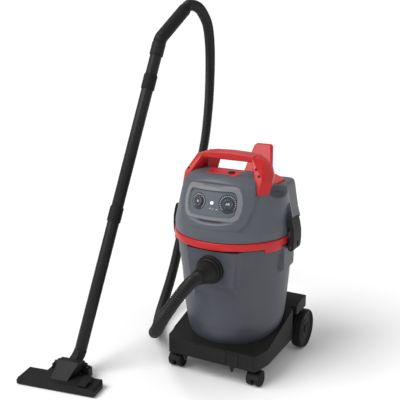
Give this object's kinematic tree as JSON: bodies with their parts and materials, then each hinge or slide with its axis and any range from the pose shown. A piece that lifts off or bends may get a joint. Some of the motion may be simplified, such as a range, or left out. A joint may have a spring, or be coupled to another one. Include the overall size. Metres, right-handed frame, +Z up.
{
  "type": "shop vacuum",
  "caption": "Wet and dry shop vacuum: round tank on a wheeled trolley, lift-off motor head with two dials and a carry handle, ribbed hose, two-tube wand and a floor nozzle.",
  "frame": {"origin": "on the floor, in the middle of the box round the vacuum, its hose left out", "axes": "+Z up, -Y towards the front with the hose inlet and the control panel, the wand on the -X side"},
  "size_m": [0.7875, 1.1629, 1.2346],
  "materials": {
    "grey_plastic": "satin moulded blue-grey",
    "red_plastic": "satin moulded red",
    "black_plastic": "fine-grained black",
    "rubber": "matt black",
    "panel_plastic": "matt printed film",
    "lamp_lens": "clear white lens",
    "steel": "turned",
    "filter_paper": "folded filter paper",
    "foam": "open-cell foam",
    "natural_plastic": "uncoloured plastic"
  },
  "bodies": {
    "base": {"tank": "grey_plastic", "inlet_socket": "black_plastic", "hose_cuff": "black_plastic", "hose": "rubber", "trolley": "black_plastic", "front_cover": "black_plastic", "foot_peg_left": "black_plastic", "foot_peg_right": "black_plastic", "rear_axle": "steel", "latch_bracket_left": "grey_plastic", "latch_bracket_right": "grey_plastic", "latch_pin_left": "steel", "latch_pin_right": "steel", "tube_lower": "black_plastic", "joint_sleeve_lower": "rubber", "tube_upper": "black_plastic", "joint_sleeve_upper": "rubber", "hand_pipe": "black_plastic", "hand_grip": "rubber", "nozzle_neck": "black_plastic"},
    "head": {"head_band": "red_plastic", "head_seal": "rubber", "head_shell": "grey_plastic", "panel_face": "panel_plastic", "panel_lamp": "lamp_lens", "carry_handle": "red_plastic", "top_plate": "red_plastic", "back_plate": "red_plastic", "cord_post": "red_plastic", "cord_gland": "rubber", "motor_plate": "black_plastic", "motor_housing": "natural_plastic", "exhaust_foam": "foam", "float_cage": "black_plastic", "filter": "filter_paper"},
    "fan": {"motor_shaft": "steel", "fan_wheel": "steel"},
    "float": {"float": "natural_plastic"},
    "dial_left": {"dial_left": "black_plastic"},
    "dial_right": {"dial_right": "black_plastic"},
    "cleaning_key": {"cleaning_key": "black_plastic"},
    "air_ring": {"air_ring": "black_plastic"},
    "nozzle": {"nozzle_body": "black_plastic", "pedal_pin": "steel", "nozzle_sole": "black_plastic"},
    "pedal": {"nozzle_pedal": "black_plastic"},
    "brush_front": {"brush_front": "natural_plastic"},
    "brush_rear": {"brush_rear": "natural_plastic"},
    "rear_wheel_left": {"rear_wheel_left": "black_plastic", "rear_tyre_left": "rubber", "axle_cap_left": "black_plastic"},
    "caster_fork_left": {"caster_fork_left": "black_plastic"},
    "caster_wheels_left": {"caster_wheels_left": "rubber"},
    "latch_left": {"latch_left": "black_plastic"},
    "rear_wheel_right": {"rear_wheel_right": "black_plastic", "rear_tyre_right": "rubber", "axle_cap_right": "black_plastic"},
    "caster_fork_right": {"caster_fork_right": "black_plastic"},
    "caster_wheels_right": {"caster_wheels_right": "rubber"},
    "latch_right": {"latch_right": "black_plastic"}
  },
  "joints": [
    {"name": "rear_wheel_spin_left", "type": "hinge", "parent": "base", "child": "rear_wheel_left", "pos_m": [-0.01225, 0.32305, 0.0707], "axis": [1, 0, 0], "continuous": true},
    {"name": "caster_swivel_left", "type": "hinge", "parent": "base", "child": "caster_fork_left", "pos_m": [0.02175, -0.00695, 0.066], "axis": [0, 0, 1], "continuous": true},
    {"name": "caster_spin_left", "type": "hinge", "parent": "caster_fork_left", "child": "caster_wheels_left", "pos_m": [0.02175, -0.02295, 0.025], "axis": [1, 0, 0], "continuous": true},
    {"name": "latch_turn_left", "type": "hinge", "parent": "base", "child": "latch_left", "pos_m": [-0.04425, 0.12205, 0.455], "axis": [0, -1, 0], "range_deg": [0, 100]},
    {"name": "rear_wheel_spin_right", "type": "hinge", "parent": "base", "child": "rear_wheel_right", "pos_m": [0.34975, 0.32305, 0.0707], "axis": [1, 0, 0], "continuous": true},
    {"name": "caster_swivel_right", "type": "hinge", "parent": "base", "child": "caster_fork_right", "pos_m": [0.31575, -0.00695, 0.066], "axis": [0, 0, 1], "continuous": true},
    {"name": "caster_spin_right", "type": "hinge", "parent": "caster_fork_right", "child": "caster_wheels_right", "pos_m": [0.31575, -0.02295, 0.025], "axis": [1, 0, 0], "continuous": true},
    {"name": "latch_turn_right", "type": "hinge", "parent": "base", "child": "latch_right", "pos_m": [0.38175, 0.12205, 0.455], "axis": [0, 1, 0], "range_deg": [0, 100]},
    {"name": "head_lift", "type": "slide", "parent": "base", "child": "head", "axis": [0, 0, 1], "range_m": [0, 0.16]},
    {"name": "dial_turn_left", "type": "hinge", "parent": "head", "child": "dial_left", "pos_m": [0.12575, -0.06219, 0.618], "axis": [-0.2338, -0.9474, 0.2187], "range_deg": [-135, 135]},
    {"name": "dial_turn_right", "type": "hinge", "parent": "head", "child": "dial_right", "pos_m": [0.22575, -0.05812, 0.618], "axis": [0.3099, -0.9253, 0.2187], "range_deg": [-135, 135]},
    {"name": "key_press", "type": "slide", "parent": "head", "child": "cleaning_key", "axis": [0, 0, -1], "range_m": [0, 0.003], "stiffness_N_per_m": 300},
    {"name": "fan_spin", "type": "hinge", "parent": "head", "child": "fan", "pos_m": [0.16875, 0.11205, 0.56], "axis": [0, 0, 1], "continuous": true},
    {"name": "float_rise", "type": "slide", "parent": "head", "child": "float", "axis": [0, 0, 1], "range_m": [0, 0.024]},
    {"name": "air_ring_turn", "type": "hinge", "parent": "base", "child": "air_ring", "pos_m": [-0.17404, 0.19431, 1.06669], "axis": [0.0671, 0.3882, 0.9191], "range_deg": [0, 90]},
    {"name": "nozzle_tilt", "type": "hinge", "parent": "base", "child": "nozzle", "pos_m": [-0.256, -0.25897, 0.04], "axis": [0.9874, 0.1582, 0], "range_deg": [-28, 7]},
    {"name": "pedal_rock", "type": "hinge", "parent": "nozzle", "child": "pedal", "pos_m": [-0.15511, -0.31977, 0.036], "axis": [0.9874, 0.1582, 0], "range_deg": [-12, 0]},
    {"name": "brush_slide_front", "type": "slide", "parent": "nozzle", "child": "brush_front", "axis": [0, 0, 1], "range_m": [0, 0.003]},
    {"name": "brush_slide_rear", "type": "slide", "parent": "nozzle", "child": "brush_rear", "axis": [0, 0, 1], "range_m": [0, 0.003]}
  ],
  "couplings": [
    {"joint": "brush_slide_front", "follows": "pedal_rock", "m_per_rad": -0.0143},
    {"joint": "brush_slide_rear", "follows": "pedal_rock", "m_per_rad": -0.0143}
  ]
}
